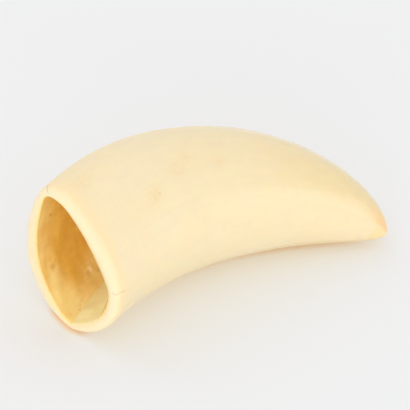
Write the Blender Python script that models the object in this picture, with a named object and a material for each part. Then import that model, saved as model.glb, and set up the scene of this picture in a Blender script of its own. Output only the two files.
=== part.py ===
"""A sperm whale tooth lying on its side, as one solid. Metres, +Z up.

The surface is one loft of closed rings. It runs from the worn tip along the
outside to the open root, over the rounded lip and down the pulp cavity to the
cavity's floor. The tooth is drawn as it grows: the root's centre at the origin,
the centreline leaving it along +X and curling towards -Y. It is then rolled,
pitched and turned to the pose in which it lies, with a small flat at each place
where it touches the surface below.
"""

import math

import bmesh
import bpy
import numpy as np
from mathutils import Matrix, Vector
from mathutils.geometry import interpolate_bezier

# Centreline: its bend in radians over the length, its climb out of the plane of
# the bend as shares of the length, and the hook of the last stretch
TOOTH_LENGTH = 0.150
BEND_AT_ROOT = 1.15
BEND_GROWTH = 0.40
BEND_LATE = 0.06
CLIMB_EARLY = 0.0735
CLIMB_LATE = 0.085
TIP_HOOK = (-0.0031, -0.0025)
HOOK_POWER = 8

# Outside: half width in the plane of the bend, and height across it over width
ROOT_HALF_WIDTH = 0.02833
SWELL = 0.484
TAPER = -0.694
TAPER_LATE = 0.2515
END_POWER = 2.68
END_BLUNTNESS = 0.666
TIP_RADIUS = 0.0014
HEIGHT_RATIO_ROOT = 0.952
HEIGHT_RATIO_GAIN = 0.063

# Uneven root: shallow waves round the section, fading towards the tip, and the
# slant of the open end
ROOT_WAVE_2 = -0.0165
ROOT_WAVE_3 = (0.013, 0.051)
ROOT_WAVE_4 = 0.021
ROOT_WAVE_4_PHASE = math.radians(35.0)
ROOT_DROP = 0.026
ROOT_FADE = 1.5
END_SLANT = 0.366

# Lip and mouth of the pulp cavity, in the plane of the open end: two corners
# joined by a full side and a flatter side
LIP_HEIGHT = 0.0036
LIP_SHARE = 0.72
LIP_CREASE = 0.0004
UPPER_CORNER = (0.0244, 0.0107)
LOWER_CORNER = (-0.0176, -0.0178)
FULL_SIDE = (
    (0.0189, 0.0154),
    (0.0096, 0.0180),
    (-0.0010, 0.0185),
    (-0.0109, 0.0175),
    (-0.0180, 0.0147),
    (-0.0218, 0.0067),
    (-0.0221, -0.0030),
    (-0.0197, -0.0117),
)
FLATTER_SIDE = (
    (-0.0115, -0.0204),
    (-0.0020, -0.0209),
    (0.0086, -0.0176),
    (0.0169, -0.0099),
    (0.0227, 0.0002),
    (0.0252, 0.0069),
)

# Pulp cavity below the mouth
CAVITY_DEPTH = 0.078
CAVITY_TAPER = 1.35

# Pose in which the tooth lies
LIE_ROLL = math.radians(38.0)
LIE_PITCH = math.radians(-6.5)
LIE_TURN = math.radians(57.5)
TOUCH_DEPTH = 0.0002

# Fineness of the loft
FULL_SIDE_STEPS = 27
FLATTER_SIDE_STEPS = 21
TIP_RINGS = 4
OUTSIDE_RINGS = 42
OUTSIDE_CROWDING = 1.25
LIP_RINGS = 6
CAVITY_RINGS = 15

IVORY = (0.87, 0.76, 0.55, 1.0)
IVORY_ROUGHNESS = 0.28


def climb(t):
    """Height of the centreline above the plane of its bend."""
    return TOOTH_LENGTH * (CLIMB_EARLY * t**2 + CLIMB_LATE * t**3) + TIP_HOOK[1] * t**HOOK_POWER


def centreline(t):
    """Place, forward and side directions at share t of the length."""
    fine = np.linspace(0.0, 1.0, 401)
    heading = -(BEND_AT_ROOT * fine + BEND_GROWTH * fine**2 / 2 + BEND_LATE * fine**3 / 3)
    half_step = TOOTH_LENGTH / (len(fine) - 1) / 2
    x = np.concatenate([[0.0], np.cumsum(np.cos(heading[1:]) + np.cos(heading[:-1]))]) * half_step
    y = np.concatenate([[0.0], np.cumsum(np.sin(heading[1:]) + np.sin(heading[:-1]))]) * half_step
    angle = np.interp(t, fine, heading)
    forward = np.array([math.cos(angle), math.sin(angle), 0.0])
    side = np.array([-math.sin(angle), math.cos(angle), 0.0])
    place = np.array([np.interp(t, fine, x), np.interp(t, fine, y), climb(t)])
    return place + TIP_HOOK[0] * t**HOOK_POWER * side, forward, side


def half_width(t):
    """Half width of the outside in the plane of the bend."""
    swell = 1 + SWELL * t + TAPER * t**2 + TAPER_LATE * t**3
    close = max(1 - t**END_POWER, 0.0) ** END_BLUNTNESS
    end = min((1 - t) * TOOTH_LENGTH / TIP_RADIUS, 1.0)
    return ROOT_HALF_WIDTH * swell * close * (1 - (1 - end) ** 2) ** 0.25


def outside_section(t, angle):
    """The outside's section at share t, as offsets to the side and up at each angle."""
    fade = (1 - t) ** ROOT_FADE
    wave = ROOT_WAVE_2 * np.cos(2 * angle)
    wave = wave + ROOT_WAVE_3[0] * np.cos(3 * angle) + ROOT_WAVE_3[1] * np.sin(3 * angle)
    wave = 1 + fade * (wave + ROOT_WAVE_4 * np.cos(4 * (angle - ROOT_WAVE_4_PHASE)))
    width = half_width(t)
    height = width * (HEIGHT_RATIO_ROOT + HEIGHT_RATIO_GAIN * t)
    return np.stack([width * np.cos(angle) * wave, height * (np.sin(angle) * wave - fade * ROOT_DROP)], -1)


def smooth_run(points, steps):
    """A smooth curve through the points, in even steps, without its last point."""
    flat = [Vector((*point, 0.0)) for point in points]
    before = [flat[0]] + flat[:-1]
    after = flat[1:] + [flat[-1]]
    lean = [(b - a) / 6 for a, b in zip(before, after)]
    dense = []
    for i in range(len(flat) - 1):
        dense += interpolate_bezier(flat[i], flat[i] + lean[i], flat[i + 1] - lean[i + 1], flat[i + 1], 24)[:-1]
    dense = np.array([point[:2] for point in dense + [flat[-1]]])
    travelled = np.concatenate([[0.0], np.cumsum(np.linalg.norm(np.diff(dense, axis=0), axis=1))])
    even = np.arange(steps) / steps * travelled[-1]
    return np.stack([np.interp(even, travelled, dense[:, 0]), np.interp(even, travelled, dense[:, 1])], -1)


def mouth_section():
    """The mouth's edge: from the upper corner along the full side, and back along the flatter one."""
    full = smooth_run((UPPER_CORNER, *FULL_SIDE, LOWER_CORNER), FULL_SIDE_STEPS)
    flatter = smooth_run((LOWER_CORNER, *FLATTER_SIDE, UPPER_CORNER), FLATTER_SIDE_STEPS)
    return np.concatenate([full, flatter])


def ring_in_space(t, section):
    """A section's points in space, leaned as the open end is, less and less towards the tip."""
    place, forward, side = centreline(t)
    lean = (1 - t) ** ROOT_FADE * END_SLANT * section[:, :1]
    up = np.array([0.0, 0.0, 1.0])
    return place + section[:, :1] * side + section[:, 1:] * up + lean * forward


def tooth_rings():
    """Every ring in order: tip to root, over the lip and down the cavity."""
    mouth = mouth_section()
    angle = np.arctan2(mouth[:, 1], mouth[:, 0])
    tip_share = TIP_RADIUS / TOOTH_LENGTH
    lip_share = LIP_HEIGHT / TOOTH_LENGTH
    stations = [1 - tip_share * (i / TIP_RINGS) ** 2 for i in range(1, TIP_RINGS + 1)]
    for i in range(1, OUTSIDE_RINGS + 1):
        share = (i / OUTSIDE_RINGS) ** OUTSIDE_CROWDING
        stations.append(1 - tip_share - (1 - tip_share - lip_share) * share)
    rings = [ring_in_space(t, outside_section(t, angle)) for t in stations]
    for i in range(1, LIP_RINGS + 1):
        turn = i / LIP_RINGS * math.pi / 2
        t = lip_share * (1 - math.sin(turn))
        inward = LIP_SHARE * (1 - math.cos(turn))
        rings.append(ring_in_space(t, (1 - inward) * outside_section(t, angle) + inward * mouth))
    for i in range(CAVITY_RINGS):
        depth = LIP_CREASE + (CAVITY_DEPTH - LIP_CREASE) * i / CAVITY_RINGS
        narrow = 1 - (depth / CAVITY_DEPTH) ** CAVITY_TAPER
        rings.append(ring_in_space(depth / TOOTH_LENGTH, narrow * mouth))
    return rings


def lay_down(points):
    """Turned to the lying pose, set on z = 0 with small flats, and centred on its box."""
    pose = Matrix.Rotation(LIE_TURN, 3, "Z") @ Matrix.Rotation(LIE_PITCH, 3, "Y")
    pose = pose @ Matrix.Rotation(LIE_ROLL, 3, "X")
    points = points @ np.array(pose).T
    low = points.min(axis=0)
    high = points.max(axis=0)
    points = points - np.array([(low[0] + high[0]) / 2, (low[1] + high[1]) / 2, low[2] + TOUCH_DEPTH])
    points[:, 2] = np.maximum(points[:, 2], 0.0)
    return points


def loft(rings):
    """One closed mesh through the rings, with a fan on the first and on the last."""
    bm = bmesh.new()
    sides = len(rings[0])
    verts = [bm.verts.new(point) for point in lay_down(np.concatenate(rings))]
    for first in range(0, len(verts) - sides, sides):
        for i in range(sides):
            here = first + i
            beside = first + (i + 1) % sides
            bm.faces.new((verts[here], verts[beside], verts[beside + sides], verts[here + sides]))
    ends = [bm.faces.new(verts[:sides]), bm.faces.new(verts[-sides:])]
    bmesh.ops.poke(bm, faces=ends, center_mode="MEAN")
    bmesh.ops.recalc_face_normals(bm, faces=bm.faces)
    return bm


def ivory():
    material = bpy.data.materials.new("ivory")
    material.use_nodes = True
    shader = material.node_tree.nodes["Principled BSDF"]
    shader.inputs["Base Color"].default_value = IVORY
    shader.inputs["Roughness"].default_value = IVORY_ROUGHNESS
    shader.inputs["Metallic"].default_value = 0.0
    return material


def make_tooth():
    mesh = bpy.data.meshes.new("tooth")
    bm = loft(tooth_rings())
    bm.to_mesh(mesh)
    bm.free()
    mesh.materials.append(ivory())
    mesh.shade_smooth()
    mesh.set_sharp_from_angle(angle=math.radians(50.0))
    tooth = bpy.data.objects.new("tooth", mesh)
    bpy.context.scene.collection.objects.link(tooth)


for old in list(bpy.data.objects):
    bpy.data.objects.remove(old, do_unlink=True)
make_tooth()
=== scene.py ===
import math

import bpy
import numpy as np
from mathutils import Matrix, Vector


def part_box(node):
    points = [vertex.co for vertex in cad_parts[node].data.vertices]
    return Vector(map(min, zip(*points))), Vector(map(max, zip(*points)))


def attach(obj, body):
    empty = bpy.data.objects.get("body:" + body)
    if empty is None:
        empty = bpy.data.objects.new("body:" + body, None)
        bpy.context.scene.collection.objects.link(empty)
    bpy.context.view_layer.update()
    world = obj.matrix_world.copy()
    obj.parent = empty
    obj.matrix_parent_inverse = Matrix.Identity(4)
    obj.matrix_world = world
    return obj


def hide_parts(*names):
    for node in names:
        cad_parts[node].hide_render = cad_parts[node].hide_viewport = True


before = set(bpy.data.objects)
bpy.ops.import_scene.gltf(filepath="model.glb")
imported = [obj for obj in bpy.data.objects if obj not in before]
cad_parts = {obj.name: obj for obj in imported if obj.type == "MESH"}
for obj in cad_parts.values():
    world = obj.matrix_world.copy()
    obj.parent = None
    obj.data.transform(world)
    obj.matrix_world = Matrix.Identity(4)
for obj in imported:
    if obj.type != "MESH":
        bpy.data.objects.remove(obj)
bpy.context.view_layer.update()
print("frame loaded:", sorted(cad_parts))


# Small helpers

def bell(distance, reach):
    # 1 at the middle, falling off smoothly, nearly 0 at twice the reach
    return np.exp(-(distance / reach) ** 2)


def smoothStep(value, start, end):
    # 0 before start, 1 after end, an S between them
    share = np.clip((value - start) / (end - start), 0.0, 1.0)
    return share * share * (3.0 - 2.0 * share)


def wrappedGap(angle, middle):
    # signed gap between two angles, the short way round
    return (angle - middle + np.pi) % (2.0 * np.pi) - np.pi


def waves(along, angle, count, lengths, turns, seed):
    # a smooth random field: a sum of cosines, each with its own wavelength along the tooth and whole
    # number of turns round it, so that it closes on itself; about -1 to 1
    rng = np.random.default_rng(seed)
    total = np.zeros(np.broadcast(along, angle).shape)
    for index in range(count):
        waveLength = rng.uniform(*lengths)
        turn = rng.integers(turns[0], turns[1] + 1)
        sign = rng.choice([-1.0, 1.0])
        phase = rng.uniform(0.0, 2.0 * np.pi)
        total = total + np.cos(2.0 * np.pi * along / waveLength + sign * turn * angle + phase)
    return total / math.sqrt(count)


def storeMask(mesh, name, values):
    # one number for each point, under a name that the materials read
    layer = mesh.attributes.new(name, "FLOAT", "POINT")
    layer.data.foreach_set("value", values.reshape(-1).astype(np.float32))


# The tooth's form: the same driving dimensions as the solid's, in metres

tooth = dict(
    length=0.150,
    bend=(1.15, 0.40, 0.06),                # at the root, its growth and its late growth, in radians
    climb=(0.0735, 0.085),                  # early and late, as shares of the length
    tipHook=(-0.0031, -0.0025), hookPower=8,
    rootHalfWidth=0.02833,
    swell=(0.484, -0.694, 0.2515),
    endPower=2.68, endBluntness=0.666, tipRadius=0.0014,
    heightRatio=(0.952, 0.063),
    rootWave2=-0.0165, rootWave3=(0.013, 0.051), rootWave4=(0.021, math.radians(35.0)),
    rootDrop=0.026, rootFade=1.5, endSlant=0.366,
    lipHeight=0.0036, lipShare=0.72, lipCrease=0.0004, lipPath=0.006,
    upperCorner=(0.0244, 0.0107), lowerCorner=(-0.0176, -0.0178),
    fullSide=(
        (0.0189, 0.0154), (0.0096, 0.0180), (-0.0010, 0.0185), (-0.0109, 0.0175),
        (-0.0180, 0.0147), (-0.0218, 0.0067), (-0.0221, -0.0030), (-0.0197, -0.0117),
    ),
    flatterSide=(
        (-0.0115, -0.0204), (-0.0020, -0.0209), (0.0086, -0.0176),
        (0.0169, -0.0099), (0.0227, 0.0002), (0.0252, 0.0069),
    ),
    cavityDepth=0.078, cavityTaper=1.35,
    lieRoll=math.radians(38.0), liePitch=math.radians(-6.5), lieTurn=math.radians(57.5),
    touchDepth=0.0002,
)

toothMesh = dict(
    lineSteps=801, curveSteps=24,               # along the centreline, and between two of the mouth's points
    fullSideSteps=150, flatterSideSteps=118,    # columns round the tooth
    crackColumns=(-0.00038, -0.00024, -0.00012, 0.0, 0.00012, 0.00024, 0.00038),
    crackReach=0.02,                            # a side within this angle of a crack is crossed by it
    crackClear=0.00058,                         # other columns keep this far from a crack's middle
    tipRings=10, outsideRings=223, lipRings=24,
    nearCavityRings=60, nearCavityDepth=0.036, farCavityRings=20,
)

# Hairline cracks, each by its points: run over the surface and angle; home is the column it follows
cracks = (
    dict(
        runs=(-0.0011, 0.0048), angles=(math.radians(17.0), math.radians(25.0)),
        home=math.radians(25.0), wander=0.002, depth=0.00014, shade=1.0,
    ),
    dict(
        runs=(-0.0028, 0.0017, 0.0034, 0.0050),
        angles=(math.radians(134.5), math.radians(133.0), math.radians(134.5), math.radians(134.5)),
        home=math.radians(134.5), wander=0.004, depth=0.00014, shade=0.65,
    ),
)
crackForm = dict(
    halfWidth=0.00036, startFade=(-0.0006, 0.0014), endFade=(-0.0006, 0.0008),
    wanderWaves=(1300, 4100), wanderShare=0.35,     # radians per metre, and the finer one's share
    bendWidth=0.25, bendFade=(0.006, 0.024),        # how far the columns beside it bend along
)

# Marks by run over the surface, angle in degrees, radius, and how strong they are: brown stains in
# the cavity, small dark specks, and soft warm blotches on the outside
stains = (
    (0.0131, -15, 0.0009, 1.0), (0.0183, -13, 0.0010, 0.6), (0.0124, -80, 0.0017, 0.80),
    (0.0098, -69, 0.0007, 0.60), (0.0124, -72, 0.0007, 0.60), (0.0142, -75, 0.0008, 0.60),
    (0.0263, -113, 0.0013, 0.75), (0.0302, -118.5, 0.0014, 0.65), (0.0173, -129, 0.0009, 0.55),
    (0.0191, -120, 0.0009, 0.55), (0.0152, -131, 0.0008, 0.60), (0.0136, -133, 0.0009, 0.60),
    (0.0077, -125, 0.0007, 0.50), (0.0134, -26, 0.0007, 0.45), (0.0108, -60, 0.0006, 0.45),
    (0.0224, -77, 0.0016, 0.45), (0.0225, -95, 0.0010, 0.40), (0.0172, -98, 0.0008, 0.40),
)
specks = (
    (-0.0002, 48, 0.0007, 0.55), (-0.0112, 124, 0.0006, 0.5), (0.0043, -30, 0.0005, 0.4),
    (0.0028, -70, 0.0005, 0.35), (-0.0320, 90, 0.00045, 0.9), (-0.0440, 82, 0.0005, 0.8),
    (-0.0408, 131, 0.0005, 0.35), (-0.0640, 144, 0.0005, 0.4), (0.0040, 131, 0.0006, 0.55),
)
blotches = (
    (-0.0056, 46, 0.0042, 0.6), (-0.0295, 89, 0.0030, 0.9), (-0.0430, 77, 0.0040, 0.55),
    (-0.0480, 71, 0.0030, 0.5), (-0.0620, 79, 0.0024, 0.7), (-0.0500, -40, 0.0050, 0.6),
    (-0.0300, -110, 0.0040, 0.6), (-0.0900, 10, 0.0050, 0.5), (-0.0750, -150, 0.0040, 0.6),
)

# Low relief, by height. Its waves: how many, their lengths along the tooth, turns round it, and seed
relief = dict(
    layers=(
        dict(place="body", height=0.00010, waves=(16, (0.025, 0.08), (1, 5), 3)),       # from polishing
        dict(place="flutes", height=0.000022, waves=(22, (0.06, 0.30), (16, 44), 5)),   # fine, lengthwise
        dict(place="body", height=0.000014, waves=(12, (0.003, 0.009), (0, 2), 7)),     # growth bands
        dict(place="lip", height=0.00003, waves=(12, (0.004, 0.02), (3, 20), 9)),
        dict(place="cavity", height=0.00020, waves=(20, (0.007, 0.03), (2, 10), 11)),   # lumps
        dict(place="cavityMouth", height=0.00002, waves=(10, (0.0026, 0.006), (0, 1), 13)),     # growth rings
    ),
    bodyEnd=(-0.001, 0.003),                # by run; the next two by depth in the cavity
    cavityStart=(0.0004, 0.004), mouthEnd=(0.024, 0.034),
    slimRadius=0.02,                        # thinner than this, the relief shrinks with the tooth
    pitDepth=0.15,                          # a pit's depth over its radius
    lump=(0.0277, -111.5, 0.0013, 1.0),     # the pale lump on the cavity's wall, as a mark
    lumpHeight=0.0005,
)


def centreLine(t):
    # place, forward and side directions at each share t of the length. The heading turns by
    # a cubic of t, and its cosine and sine are summed up along the length
    fine = np.linspace(0.0, 1.0, toothMesh["lineSteps"])
    atRoot, growth, late = tooth["bend"]
    heading = -(atRoot * fine + growth * fine ** 2 / 2 + late * fine ** 3 / 3)
    halfStep = tooth["length"] / (len(fine) - 1) / 2
    x = np.concatenate([[0.0], np.cumsum(np.cos(heading[1:]) + np.cos(heading[:-1]))]) * halfStep
    y = np.concatenate([[0.0], np.cumsum(np.sin(heading[1:]) + np.sin(heading[:-1]))]) * halfStep
    angle = np.interp(t, fine, heading)
    hook = np.asarray(t) ** tooth["hookPower"]
    early, later = tooth["climb"]
    z = tooth["length"] * (early * t ** 2 + later * t ** 3) + tooth["tipHook"][1] * hook
    zero = np.zeros_like(angle)
    forward = np.stack([np.cos(angle), np.sin(angle), zero], -1)
    side = np.stack([-np.sin(angle), np.cos(angle), zero], -1)
    place = np.stack([np.interp(t, fine, x), np.interp(t, fine, y), z], -1)
    return place + tooth["tipHook"][0] * hook[..., None] * side, forward, side


def halfWidth(t):
    # a cubic swell times a power that closes it at the tip, rounded off over the tip's radius
    first, second, third = tooth["swell"]
    swell = 1 + first * t + second * t ** 2 + third * t ** 3
    close = np.maximum(1 - t ** tooth["endPower"], 0.0) ** tooth["endBluntness"]
    end = np.minimum((1 - t) * tooth["length"] / tooth["tipRadius"], 1.0)
    return tooth["rootHalfWidth"] * swell * close * (1 - (1 - end) ** 2) ** 0.25


def outsideSection(t, angle):
    # a near ellipse with shallow waves round it that fade towards the tip
    fade = (1 - t) ** tooth["rootFade"]
    wave = tooth["rootWave2"] * np.cos(2 * angle)
    wave = wave + tooth["rootWave3"][0] * np.cos(3 * angle) + tooth["rootWave3"][1] * np.sin(3 * angle)
    wave = 1 + fade * (wave + tooth["rootWave4"][0] * np.cos(4 * (angle - tooth["rootWave4"][1])))
    width = halfWidth(t)
    height = width * (tooth["heightRatio"][0] + tooth["heightRatio"][1] * t)
    return width * np.cos(angle) * wave, height * (np.sin(angle) * wave - fade * tooth["rootDrop"])


def smoothRun(points):
    # cubic pieces through the points, each leaning along its neighbours, with the way travelled
    points = np.array(points)
    before = np.concatenate([points[:1], points[:-1]])
    after = np.concatenate([points[1:], points[-1:]])
    lean = (after - before) / 6
    s = np.linspace(0.0, 1.0, toothMesh["curveSteps"])[:-1, None]
    starts, ends = points[:-1, None], points[1:, None]
    leaving, arriving = starts + lean[:-1, None], ends - lean[1:, None]
    dense = (1 - s) ** 3 * starts + 3 * (1 - s) ** 2 * s * leaving
    dense = dense + 3 * (1 - s) * s ** 2 * arriving + s ** 3 * ends
    dense = np.concatenate([dense.reshape(-1, 2), points[-1:]])
    travelled = np.concatenate([[0.0], np.cumsum(np.linalg.norm(np.diff(dense, axis=0), axis=1))])
    return dense, travelled


def columnsOn(run, steps):
    # even columns along one side of the mouth, with close ones in place of those where a crack
    # crosses it
    dense, travelled = run
    even = np.arange(steps) / steps * travelled[-1]
    turn = np.arctan2(dense[:, 1], dense[:, 0])
    for crack in cracks:
        gap = np.abs(wrappedGap(turn, crack["home"]))
        if gap.min() < toothMesh["crackReach"]:
            middle = travelled[gap.argmin()]
            close = middle + np.array(toothMesh["crackColumns"])
            even = even[np.abs(even - middle) > toothMesh["crackClear"]]
            even = np.sort(np.concatenate([even, close]))
    return np.stack([np.interp(even, travelled, dense[:, 0]), np.interp(even, travelled, dense[:, 1])], -1)


def crackAngle(crack, run):
    # the crack's angle at each way along the surface: straight between its points, with a small
    # wander made of two cosines
    angle = np.interp(run, crack["runs"], crack["angles"])
    broad, fine = crackForm["wanderWaves"]
    wander = np.cos(run * broad + crack["home"]) + crackForm["wanderShare"] * np.cos(run * fine)
    return angle + crack["wander"] * wander


def mouthEdge():
    # from the upper corner along the full side, and back along the flatter one
    full = smoothRun((tooth["upperCorner"], *tooth["fullSide"], tooth["lowerCorner"]))
    flatter = smoothRun((tooth["lowerCorner"], *tooth["flatterSide"], tooth["upperCorner"]))
    return np.concatenate([columnsOn(full, toothMesh["fullSideSteps"]),
                           columnsOn(flatter, toothMesh["flatterSideSteps"])])


def toothGrid():
    # every ring from the tip over the outside and the lip down to the cavity's floor, as one grid
    # of rings by columns: places in the growing pose, and fields that hold each point's angle,
    # distance from the root, way round the lip, depth in the cavity and run. The run is the way
    # over the surface from the lip's outer start, below zero on the outside
    mouth = mouthEdge()
    home = np.arctan2(mouth[:, 1], mouth[:, 0])[None, :]
    tipShare = tooth["tipRadius"] / tooth["length"]
    lipShare = tooth["lipHeight"] / tooth["length"]
    tipSteps = 1 - tipShare * (np.arange(1, toothMesh["tipRings"] + 1) / toothMesh["tipRings"]) ** 2
    bodySteps = np.linspace(1 - tipShare, lipShare, toothMesh["outsideRings"] + 1)[1:]
    outT = np.concatenate([tipSteps, bodySteps])
    turn = np.arange(1, toothMesh["lipRings"] + 1) / toothMesh["lipRings"] * np.pi / 2
    lipT = lipShare * (1 - np.sin(turn))
    inward = tooth["lipShare"] * (1 - np.cos(turn))
    near = np.linspace(tooth["lipCrease"], toothMesh["nearCavityDepth"], toothMesh["nearCavityRings"])
    farSteps = toothMesh["farCavityRings"] + 1
    far = np.linspace(toothMesh["nearCavityDepth"], tooth["cavityDepth"], farSteps)[1:-1]
    depth = np.concatenate([near, far])
    narrow = 1 - (depth / tooth["cavityDepth"]) ** tooth["cavityTaper"]
    t = np.concatenate([outT, lipT, depth / tooth["length"]])[:, None]
    blend = np.concatenate([np.zeros_like(outT), inward, np.ones_like(depth)])[:, None]
    scale = np.concatenate([np.ones_like(outT), np.ones_like(lipT), narrow])[:, None]
    lip = np.concatenate([np.zeros_like(outT), turn / (np.pi / 2), np.ones_like(depth)])[:, None]
    inDepth = np.concatenate([np.zeros_like(outT), np.zeros_like(lipT), depth])[:, None]
    run = np.where(lip > 0, lip * tooth["lipPath"] + inDepth, tooth["lipHeight"] - t * tooth["length"])
    angle = home + 0.0 * run
    for crack in cracks:
        # the columns beside a crack bend along with it
        nearCrack = bell(wrappedGap(home, crack["home"]), crackForm["bendWidth"])
        nearCrack = nearCrack * (1 - smoothStep(-run, *crackForm["bendFade"]))
        angle = angle + (crackAngle(crack, run) - crack["home"]) * nearCrack
    outU, outW = outsideSection(t, angle)
    u = (1 - blend) * outU + blend * scale * mouth[None, :, 0]
    w = (1 - blend) * outW + blend * scale * mouth[None, :, 1]
    place, forward, side = centreLine(t[:, 0])
    lean = (1 - t) ** tooth["rootFade"] * tooth["endSlant"] * u
    points = place[:, None] + u[..., None] * side[:, None] + lean[..., None] * forward[:, None]
    points[..., 2] += w
    fields = dict(home=home, angle=angle, along=t * tooth["length"], depth=inDepth, lip=lip, run=run)
    fields.update(u=u, w=w, radius=np.hypot(u, w))
    return points, {name: np.broadcast_to(value, points.shape[:2]) for name, value in fields.items()}


def layDown(points):
    # rolled, pitched and turned to the lying pose, set on the surface with small flats, and
    # centred on the node's box
    pose = Matrix.Rotation(tooth["lieTurn"], 3, "Z") @ Matrix.Rotation(tooth["liePitch"], 3, "Y")
    pose = np.array(pose @ Matrix.Rotation(tooth["lieRoll"], 3, "X"))
    points = points @ pose.T
    low, high = points.min(axis=(0, 1)), points.max(axis=(0, 1))
    nodeLow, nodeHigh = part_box("tooth")
    target = ((nodeLow.x + nodeHigh.x) / 2, (nodeLow.y + nodeHigh.y) / 2, 0.0)
    held = ((low[0] + high[0]) / 2, (low[1] + high[1]) / 2, low[2] + tooth["touchDepth"])
    return points + np.array(target) - np.array(held)


def outwardNormals(points):
    # cross of the grid's two directions at each point, turned away from the middle ring's centre
    alongRings = np.gradient(points, axis=0)
    roundRing = np.roll(points, -1, axis=1) - np.roll(points, 1, axis=1)
    normal = np.cross(alongRings, roundRing)
    normal = normal / np.maximum(np.linalg.norm(normal, axis=-1, keepdims=True), 1e-12)
    middle = toothMesh["outsideRings"] // 2
    fromCentre = points[middle] - points[middle].mean(axis=0)
    return normal if (fromCentre * normal[middle]).sum() > 0 else -normal


def markSpot(field, mark):
    # a soft round spot, its distance taken along and round the surface
    run, angle, reach, strength = mark
    across = field["radius"] * wrappedGap(field["angle"], math.radians(angle))
    return strength * bell(np.hypot(field["run"] - run, across), reach)


def markMask(field, marks):
    # the strongest spot at each point
    return np.max([markSpot(field, mark) for mark in marks], axis=0)


def crackMask(field):
    # shade and groove: full in the middle of each crack, 0 beyond its half width, fading out at
    # its ends
    shade, groove = np.zeros(field["run"].shape), np.zeros(field["run"].shape)
    for crack in cracks:
        across = np.abs(field["radius"] * wrappedGap(field["home"], crack["home"]))
        line = np.clip(1 - across / crackForm["halfWidth"], 0.0, 1.0)
        first, last = crack["runs"][0], crack["runs"][-1]
        starts, ends = crackForm["startFade"], crackForm["endFade"]
        line = line * smoothStep(field["run"], first + starts[0], first + starts[1])
        line = line * (1 - smoothStep(field["run"], last + ends[0], last + ends[1]))
        shade = np.maximum(shade, line * crack["shade"])
        groove = np.maximum(groove, line * crack["depth"])
    return shade, groove


def surfaceRelief(field, groove):
    # heights along the normal: each layer's waves where it lies, pits at the dark marks, the
    # lump on the cavity's wall, and the cracks' grooves
    outside = 1 - smoothStep(field["run"], *relief["bodyEnd"])
    inside = smoothStep(field["depth"], *relief["cavityStart"])
    mouthOnly = 1 - smoothStep(field["depth"], *relief["mouthEnd"])
    slim = np.clip(field["radius"] / relief["slimRadius"], 0.0, 1.0)
    places = dict(body=outside * slim, flutes=outside * slim ** 2, lip=(1 - outside) * (1 - inside),
                  cavity=inside * slim, cavityMouth=inside * mouthOnly)
    height = np.zeros(slim.shape)
    for layer in relief["layers"]:
        pattern = waves(field["run"], field["angle"], *layer["waves"])
        height = height + layer["height"] * places[layer["place"]] * pattern
    for mark in stains + specks:
        height = height - relief["pitDepth"] * mark[2] * markSpot(field, mark)
    return height + relief["lumpHeight"] * markSpot(field, relief["lump"]) - groove


def makeTooth():
    # the grid with its relief, closed by a fan of triangles on its first ring and on its last
    points, field = toothGrid()
    points = layDown(points)
    crack, groove = crackMask(field)
    points = points + surfaceRelief(field, groove)[..., None] * outwardNormals(points)
    points[..., 2] = np.maximum(points[..., 2], 0.0)
    rings, columns = points.shape[:2]
    verts = np.concatenate([points.reshape(-1, 3), points[[0, -1]].mean(axis=1)])
    here = np.arange(rings * columns).reshape(rings, columns)
    beside = np.roll(here, -1, axis=1)
    quads = np.stack([here[:-1], beside[:-1], beside[1:], here[1:]], -1).reshape(-1, 4)
    tipFan = np.stack([beside[0], here[0], np.full(columns, rings * columns)], -1)
    floorFan = np.stack([here[-1], beside[-1], np.full(columns, rings * columns + 1)], -1)
    mesh = bpy.data.meshes.new("tooth")
    mesh.from_pydata(verts.tolist(), [], quads.tolist() + tipFan.tolist() + floorFan.tolist())
    mesh.shade_smooth()
    masks = dict(along=field["along"], depth=field["depth"], lip=field["lip"], turn=field["angle"],
                 crack=crack, stain=markMask(field, stains), speck=markMask(field, specks),
                 lump=markMask(field, (relief["lump"],)), blotch=markMask(field, blotches))
    for name, mask in masks.items():
        storeMask(mesh, name, np.concatenate([mask.reshape(-1), mask[0, :1], mask[-1, :1]]))
    # the tooth's own straightened coordinates: the way along it, and the section's two directions
    grown = np.stack([-field["run"], field["u"], field["w"]], -1)
    grown = np.concatenate([grown.reshape(-1, 3), grown[[0, -1]].mean(axis=1)])
    layer = mesh.attributes.new("grown", "FLOAT_VECTOR", "POINT")
    layer.data.foreach_set("vector", grown.reshape(-1).astype(np.float32))
    piece = bpy.data.objects.new("tooth_ivory", mesh)
    bpy.context.scene.collection.objects.link(piece)
    print("tooth surface:", len(verts), "points,", 2 * len(quads) + 2 * columns, "triangles")
    return piece


# Materials

ivory = dict(
    pale=(0.885, 0.750, 0.498), deep=(0.885, 0.722, 0.412),         # the body's two creams
    # the far side's browner cream is painted shade, where that side faces away from the light near the tip
    blotch=(0.86, 0.645, 0.32), flankShade=(0.835, 0.655, 0.33),         # warm spots, and the far side
    rim=(0.94, 0.788, 0.520), rimWarm=(0.92, 0.735, 0.44),          # the lip's crest and its belt
    rimEdge=(0.95, 0.72, 0.36),                                     # the lip's inner edge
    # the cavity's ambers: the dark one is partly painted shade deep down one side, the pale one partly
    # painted light near the mouth
    amber=(1.0, 0.735, 0.272), amberDarkAndShade=(0.81, 0.478, 0.073), amberPale=(1.0, 0.83, 0.42),
    # the tip's amber from wear, and a darker amber that is painted shade on the tip's far side
    tip=(0.945, 0.72, 0.365), tipDark=(0.92, 0.61, 0.28),
    brown=(0.46, 0.21, 0.035), grey=(0.45, 0.32, 0.17),             # stains and specks, and cracks
)

finish = dict(
    scatter=0.55, scatterRadius=(1.0, 0.62, 0.28), scatterScale=0.0025, ior=1.54,
    # each: the way along the tooth where it starts and ends to change, and its values there
    roughness=(0.02, 0.09, 0.55, 0.32), polish=(0.04, 0.11, 0.0, 0.8),
    roughnessWear=0.03, polishRoughness=0.075,
    bumpStrength=0.2, bumpDistance=0.00003,
)

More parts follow.
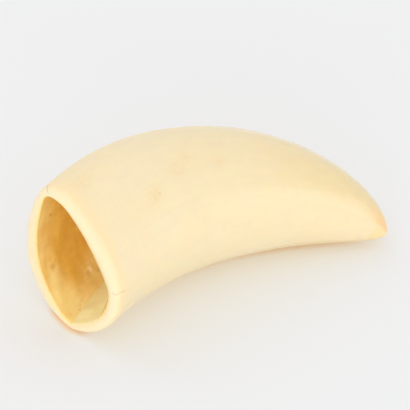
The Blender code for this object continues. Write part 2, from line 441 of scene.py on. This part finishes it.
# Noise patterns: features per metre along the tooth and across it, and octaves
patterns = dict(
    creamPatches=(38, 48, 3.0), speckle=(760, 760, 4.0), grain=(45, 620, 3.0), mottle=(150, 190, 5.0),
    wear=(120, 150, 3.0), creamBump=(90, 520, 1.0),
    amberPatches=(110, 90, 4.0), streaks=(120, 900, 3.0), growthRings=(520, 60, 3.0),
    amberBump=(420, 420, 2.0),
    tipEdge=(260, 420, 3.0), crumbs=(1300, 1300, 2.0),
)

surfaceOutputs = {"Colour": "Color", "Roughness": "Float", "Height": "Float"}


def put(tree, kind, inputs=None, **settings):
    # a node with its settings, its inputs linked where a socket is given and set where a value is
    node = tree.nodes.new("ShaderNode" + kind)
    for name, value in settings.items():
        setattr(node, name, value)
    for name, value in (inputs or {}).items():
        if isinstance(value, bpy.types.NodeSocket):
            tree.links.new(value, node.inputs[name])
        else:
            node.inputs[name].default_value = value
    return node


def withAlpha(colour):
    # a socket as it is, a plain colour with its alpha
    return colour if isinstance(colour, bpy.types.NodeSocket) else (*colour, 1.0)


def mixed(tree, factor, first, second):
    # from the first colour at factor 0 to the second at 1
    inputs = {0: factor, 6: withAlpha(first), 7: withAlpha(second)}
    return put(tree, "Mix", inputs, data_type="RGBA").outputs[2]


def ranged(tree, value, start, end, low=0.0, high=1.0):
    # low at start, high at end, an S between them
    inputs = {"Value": value, "From Min": start, "From Max": end, "To Min": low, "To Max": high}
    return put(tree, "MapRange", inputs, interpolation_type="SMOOTHSTEP").outputs["Result"]


def worked(tree, operation, first, second=0.0):
    # one step of arithmetic on two sockets or numbers
    return put(tree, "Math", {0: first, 1: second}, operation=operation).outputs[0]


def noise(tree, vector, name):
    # one of the patterns, stretched by its features per metre
    along, across, octaves = patterns[name]
    scaled = put(tree, "VectorMath", {0: vector, 1: (along, across, across)}, operation="MULTIPLY")
    return put(tree, "TexNoise", {"Vector": scaled.outputs[0], "Scale": 1.0, "Detail": octaves}).outputs[0]


def toned(tree, colour, firstNoise, firstSpan, secondNoise, secondSpan):
    # the colour times 1 and a little more or less, by two noises
    first = ranged(tree, firstNoise, 0.3, 0.7, -firstSpan, firstSpan)
    second = ranged(tree, secondNoise, 0.3, 0.7, -secondSpan, secondSpan)
    tone = worked(tree, "ADD", worked(tree, "ADD", first, second), 1.0)
    return put(tree, "VectorMath", {0: colour, "Scale": tone}, operation="SCALE").outputs[0]


def newGroup(name, inputs, outputs):
    # an empty node group with these sockets, and the two ends to link to
    tree = bpy.data.node_groups.new(name, "ShaderNodeTree")
    for label, kind in inputs.items():
        tree.interface.new_socket(label, in_out="INPUT", socket_type="NodeSocket" + kind)
    for label, kind in outputs.items():
        tree.interface.new_socket(label, in_out="OUTPUT", socket_type="NodeSocket" + kind)
    return tree, tree.nodes.new("NodeGroupInput").outputs, tree.nodes.new("NodeGroupOutput").inputs


def creamGroup():
    # the polished outside: two creams in broad soft patches, yellower towards the tip and on the far
    # side, with painted shade that darkens the far side near the tip, warm blotches, a fine mottle and
    # a faint lengthwise grain
    inputs = {"Grown": "Vector", "Along": "Float", "Turn": "Float", "Blotch": "Float"}
    tree, given, wanted = newGroup("cream ivory", inputs, surfaceOutputs)
    grown = given["Grown"]
    patches = ranged(tree, noise(tree, grown, "creamPatches"), 0.35, 0.72, 0.0, 0.32)
    toTip = ranged(tree, given["Along"], 0.030, 0.125, 0.0, 0.75)
    nearSide = ranged(tree, given["Turn"], math.radians(104), math.radians(126), 1.0, 0.45)
    share = worked(tree, "ADD", patches, worked(tree, "MULTIPLY", toTip, nearSide))
    colour = mixed(tree, share, ivory["pale"], ivory["deep"])
    # painted shade: the far side near the tip is mixed towards a browner cream, as it faces away from the
    # light
    farSide = ranged(tree, given["Turn"], math.radians(114), math.radians(94), 0.0, 0.6)
    flankShade = worked(tree, "MULTIPLY", ranged(tree, given["Along"], 0.080, 0.128), farSide)
    colour = mixed(tree, flankShade, colour, ivory["flankShade"])
    speckle = ranged(tree, noise(tree, grown, "speckle"), 0.32, 0.62, 0.10, 0.85)
    colour = mixed(tree, worked(tree, "MULTIPLY", given["Blotch"], speckle), colour, ivory["blotch"])
    colour = toned(tree, colour, noise(tree, grown, "grain"), 0.006, noise(tree, grown, "mottle"), 0.010)
    tree.links.new(colour, wanted["Colour"])
    # kept above 0.28, below which the denoiser takes a gloss for a mirror and leaves an edge
    span = finish["roughnessWear"]
    wear = ranged(tree, noise(tree, grown, "wear"), 0.3, 0.7, -span, span)
    rough = ranged(tree, given["Along"], *finish["roughness"])
    tree.links.new(worked(tree, "ADD", rough, wear), wanted["Roughness"])
    tree.links.new(noise(tree, grown, "creamBump"), wanted["Height"])
    return tree


def amberGroup():
    # the cavity's wall: amber that darkens down one side, partly its own colour and partly painted shade
    # in the recess, with mottled growth patches, and a paler belt near the mouth and on the side below
    # the crease, partly its own colour and partly painted light
    inputs = {"Grown": "Vector", "Depth": "Float", "Turn": "Float"}
    tree, given, wanted = newGroup("amber cavity", inputs, surfaceOutputs)
    grown = given["Grown"]
    patches = noise(tree, grown, "amberPatches")
    # partly painted shade: the amber darkens with depth down one side, where the recess lies in shade, over
    # its own mottled colour
    first = ranged(tree, given["Turn"], math.radians(-130), math.radians(-10), 0.006, 0.0005)
    down = ranged(tree, given["Depth"], first, worked(tree, "ADD", first, 0.010))
    shift = ranged(tree, given["Depth"], 0.013, 0.023, 0.0, math.radians(22))
    shifted = worked(tree, "SUBTRACT", given["Turn"], shift)
    side = ranged(tree, shifted, math.radians(-132), math.radians(-108), 0.20, 1.0)
    mottle = ranged(tree, patches, 0.35, 0.7, -0.20, 0.28)
    dark = worked(tree, "ADD", worked(tree, "MULTIPLY", down, side), mottle)
    colour = mixed(tree, put(tree, "Clamp", {"Value": dark}).outputs[0], ivory["amber"], ivory["amberDarkAndShade"])
    # partly painted light: paler on the side below the crease and most near the mouth, where light comes in
    under = ranged(tree, given["Turn"], math.radians(-133), math.radians(-137))
    under = worked(tree, "MULTIPLY", under, ranged(tree, given["Depth"], 0.016, 0.045, 0.9, 0.15))
    colour = mixed(tree, under, colour, ivory["amberPale"])
    colour = toned(tree, colour, noise(tree, grown, "streaks"), 0.03, noise(tree, grown, "growthRings"), 0.03)
    tree.links.new(colour, wanted["Colour"])
    tree.links.new(ranged(tree, patches, 0.3, 0.7, 0.42, 0.56), wanted["Roughness"])
    tree.links.new(noise(tree, grown, "amberBump"), wanted["Height"])
    return tree


def lipColour(tree, value, colour):
    # a warmer belt where the lip starts, whiter on its crest, yellow at its inner edge
    colour = mixed(tree, ranged(tree, value["along"], 0.0085, 0.0040, 0.0, 0.9), colour, ivory["rimWarm"])
    colour = mixed(tree, ranged(tree, value["lip"], 0.15, 0.60), colour, ivory["rim"])
    return mixed(tree, ranged(tree, value["lip"], 0.86, 1.0, 0.0, 0.40), colour, ivory["rimEdge"])


def tipColour(tree, value, grown, colour):
    # amber where wear has reached the tip, and a darker painted shade in a narrow strip on its far side,
    # which faces away from the light
    ragged = ranged(tree, noise(tree, grown, "tipEdge"), 0.3, 0.7, -0.0016, 0.0016)
    reach = worked(tree, "ADD", value["along"], ragged)
    colour = mixed(tree, ranged(tree, reach, 0.1405, 0.1465), colour, ivory["tip"])
    # painted shade: a narrow strip on the far side of the tip, facing away from the light, is darker
    beside = worked(tree, "ABSOLUTE", worked(tree, "SUBTRACT", value["turn"], math.radians(93)))
    shadeTowardsTip = ranged(tree, reach, 0.1320, 0.1440, 0.0, 0.85)
    strip = worked(tree, "MULTIPLY", ranged(tree, beside, 0.48, 0.10), shadeTowardsTip)
    return mixed(tree, strip, colour, ivory["tipDark"])


def markColour(tree, value, grown, colour):
    # stains, the pale lump, whose paler colour is partly a painted highlight, specks and cracks, with
    # edges made ragged by a fine noise
    crumbs = ranged(tree, noise(tree, grown, "crumbs"), 0.25, 0.75, -0.12, 0.12)
    stained = ranged(tree, worked(tree, "ADD", value["stain"], crumbs), 0.15, 1.0, 0.0, 0.55)
    colour = mixed(tree, stained, colour, ivory["brown"])
    # the lump's paler colour is partly a painted highlight on it
    colour = mixed(tree, ranged(tree, value["lump"], 0.25, 0.9, 0.0, 0.6), colour, ivory["amberPale"])
    specked = ranged(tree, worked(tree, "ADD", value["speck"], crumbs), 0.30, 0.95, 0.0, 0.6)
    colour = mixed(tree, specked, colour, ivory["brown"])
    return mixed(tree, ranged(tree, value["crack"], 0.1, 0.9, 0.0, 0.75), colour, ivory["grey"])


def ivoryMaterial():
    # cream outside, amber below the crease, and the lip's, the tip's and the marks' own colours
    material = bpy.data.materials.new("polished ivory")
    material.use_nodes = True
    tree = material.node_tree
    shader = tree.nodes["Principled BSDF"]
    shader.inputs["Subsurface Weight"].default_value = finish["scatter"]
    shader.inputs["Subsurface Radius"].default_value = finish["scatterRadius"]
    shader.inputs["Subsurface Scale"].default_value = finish["scatterScale"]
    shader.inputs["IOR"].default_value = finish["ior"]
    shader.inputs["Coat Roughness"].default_value = finish["polishRoughness"]
    names = ("grown", "along", "depth", "lip", "turn", "crack", "stain", "speck", "lump", "blotch")
    read = {name: put(tree, "Attribute", attribute_name=name) for name in names}
    value = {name: node.outputs["Fac"] for name, node in read.items()}
    grown = read["grown"].outputs["Vector"]
    cream = put(tree, "Group", node_tree=creamGroup())
    amber = put(tree, "Group", node_tree=amberGroup())
    for label, source in (("Grown", grown), ("Along", value["along"]), ("Turn", value["turn"]),
                          ("Blotch", value["blotch"])):
        tree.links.new(source, cream.inputs[label])
    for label, source in (("Grown", grown), ("Depth", value["depth"]), ("Turn", value["turn"])):
        tree.links.new(source, amber.inputs[label])
    colour = lipColour(tree, value, cream.outputs["Colour"])
    colour = tipColour(tree, value, grown, colour)
    # the cavity starts at the crease below the lip
    inside = ranged(tree, value["depth"], 0.0001, 0.0005)
    colour = mixed(tree, inside, colour, amber.outputs["Colour"])
    tree.links.new(markColour(tree, value, grown, colour), shader.inputs["Base Color"])
    # the polish: a thin clear gloss that grows towards the tip, over the broader one
    tree.links.new(ranged(tree, value["along"], *finish["polish"]), shader.inputs["Coat Weight"])
    rough = put(tree, "Mix", {0: inside, 2: cream.outputs["Roughness"], 3: amber.outputs["Roughness"]})
    tree.links.new(rough.outputs[0], shader.inputs["Roughness"])
    height = put(tree, "Mix", {0: inside, 2: cream.outputs["Height"], 3: amber.outputs["Height"]})
    bump = put(tree, "Bump", {"Height": height.outputs[0], "Strength": finish["bumpStrength"],
                              "Distance": finish["bumpDistance"]})
    tree.links.new(bump.outputs["Normal"], shader.inputs["Normal"])
    return material


# Stage: floor, light and camera

studio = dict(
    floorSize=3.0, floorDrop=0.00005, floorRoughness=0.9, floorGloss=0.1,
    # warm light comes through the floor, as on a light table, so that the shadows stay pale and
    # warm. Its colour and the floor's own make up a neutral pale grey where nothing shades it
    floorColour=(0.400, 0.545, 0.670), floorGlow=(0.46, 0.315, 0.195),
    # painted contact shadow: the floor is browner and gives less light where it is this near to the
    # tooth's underside
    contactShadowColour=(0.66, 0.52, 0.36), contactShadowGlow=0.5, contactGap=(0.0005, 0.0030),
    fineHalf=(0.100, 0.075), fineSteps=(134, 101),      # the floor's fine part
    lowHeight=0.014, lowEvery=4,                        # which of the tooth's points count as its underside
    skyColour=(1.0, 1.0, 1.0), skyStrength=0.84,
    # soft panels: three behind the camera, from high to low, one behind the tooth, one to its right
    panels=(
        dict(name="front panel", place=(0.0, -1.30, 1.98), size=(4.0, 3.2), power=7.0),
        dict(name="low front panel", place=(-0.1, -2.20, 0.66), size=(3.0, 0.28), power=10.5),
        dict(name="lower front panel", place=(-0.4, -2.20, 0.16), size=(3.0, 0.30), power=6.5),
        dict(name="back panel", place=(-1.1, 1.40, 1.50), size=(2.4, 2.0), power=7.5),
        dict(name="right panel", place=(1.22, -0.20, 0.42), size=(0.90, 0.50), power=0.9),
    ),
)

view = dict(
    target=(0.0, 0.0, 0.028), distance=1.0809, azimuth=math.radians(0.37), elevation=math.radians(36.82),
    aimShift=(-0.00186, 0.00695),           # across and up in the picture
    focalPixels=2730.7, frameSize=410, sensorWidth=36.0, farLimit=20.0,
)


def floorMaterial():
    # pale, with a painted contact shadow: browner and less lit where the stored gap to the tooth is small
    material = bpy.data.materials.new("pale floor")
    material.use_nodes = True
    tree = material.node_tree
    shader = tree.nodes["Principled BSDF"]
    shader.inputs["Roughness"].default_value = studio["floorRoughness"]
    shader.inputs["Specular IOR Level"].default_value = studio["floorGloss"]
    shader.inputs["Emission Strength"].default_value = 1.0
    gap = put(tree, "Attribute", attribute_name="gap").outputs["Fac"]
    lit = ranged(tree, gap, *studio["contactGap"])
    faint = [studio["contactShadowGlow"] * value for value in studio["floorGlow"]]
    tree.links.new(mixed(tree, lit, faint, studio["floorGlow"]), shader.inputs["Emission Color"])
    # painted contact shadow in the floor's colour, brown where the tooth is near
    colour = mixed(tree, lit, studio["contactShadowColour"], studio["floorColour"])
    tree.links.new(colour, shader.inputs["Base Color"])
    return material


def makeFloor(lying):
    # a flat grid, fine near the tooth, each of its points holding its gap to the tooth's
    # underside: the least distance to the tooth's low points
    half = studio["floorSize"] / 2
    x, y = [np.concatenate([[-half], np.linspace(-fine, fine, steps), [half]])
            for fine, steps in zip(studio["fineHalf"], studio["fineSteps"])]
    places = np.empty(len(lying.data.vertices) * 3)
    lying.data.vertices.foreach_get("co", places)
    places = places.reshape(-1, 3)
    low = places[places[:, 2] < studio["lowHeight"]][::studio["lowEvery"]]
    besideRow = (y[:, None] - low[:, 1]) ** 2 + low[:, 2] ** 2
    gap = np.stack([np.sqrt((besideRow + (row - low[:, 0]) ** 2).min(axis=1)) for row in x])
    verts = np.stack([*np.meshgrid(x, y, indexing="ij"), np.full(gap.shape, -studio["floorDrop"])], -1)
    here = np.arange(gap.size).reshape(gap.shape)
    quads = np.stack([here[:-1, :-1], here[1:, :-1], here[1:, 1:], here[:-1, 1:]], -1)
    mesh = bpy.data.meshes.new("floor")
    mesh.from_pydata(verts.reshape(-1, 3).tolist(), [], quads.reshape(-1, 4).tolist())
    storeMask(mesh, "gap", gap)
    mesh.materials.append(floorMaterial())
    floor = bpy.data.objects.new("floor", mesh)
    bpy.context.scene.collection.objects.link(floor)


def makeLight():
    # an even white sky, and panels that face the tooth
    world = bpy.data.worlds.new("soft sky")
    world.use_nodes = True
    background = world.node_tree.nodes["Background"]
    background.inputs["Color"].default_value = (*studio["skyColour"], 1.0)
    background.inputs["Strength"].default_value = studio["skyStrength"]
    bpy.context.scene.world = world
    for spec in studio["panels"]:
        data = bpy.data.lights.new(spec["name"], "AREA")
        data.shape = "RECTANGLE"
        data.size, data.size_y = spec["size"]
        data.energy = spec["power"]
        panel = bpy.data.objects.new(spec["name"], data)
        panel.location = spec["place"]
        facing = Vector(view["target"]) - Vector(spec["place"])
        panel.rotation_euler = facing.to_track_quat("-Z", "Y").to_euler()
        bpy.context.scene.collection.objects.link(panel)


def makeCamera():
    # on a sphere round the target by azimuth and elevation, aimed a little beside the target
    az, el = view["azimuth"], view["elevation"]
    back = Vector((math.sin(az) * math.cos(el), -math.cos(az) * math.cos(el), math.sin(el)))
    right = Vector((math.cos(az), math.sin(az), 0.0))
    up = back.cross(right)
    target = Vector(view["target"])
    place = target + back * view["distance"]
    aim = target + right * view["aimShift"][0] + up * view["aimShift"][1]
    data = bpy.data.cameras.new("camera")
    data.sensor_width = view["sensorWidth"]
    data.lens = view["focalPixels"] / view["frameSize"] * view["sensorWidth"]
    data.clip_end = view["farLimit"]
    camera = bpy.data.objects.new("camera", data)
    camera.location = place
    camera.rotation_euler = (aim - place).to_track_quat("-Z", "Y").to_euler()
    bpy.context.scene.collection.objects.link(camera)
    bpy.context.scene.camera = camera


bpy.context.scene.view_settings.view_transform = "Standard"
toothPiece = makeTooth()
toothPiece.data.materials.append(ivoryMaterial())
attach(toothPiece, "root")
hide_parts("tooth")
print("tooth ready")

makeFloor(toothPiece)
makeLight()
makeCamera()
print("stage ready")
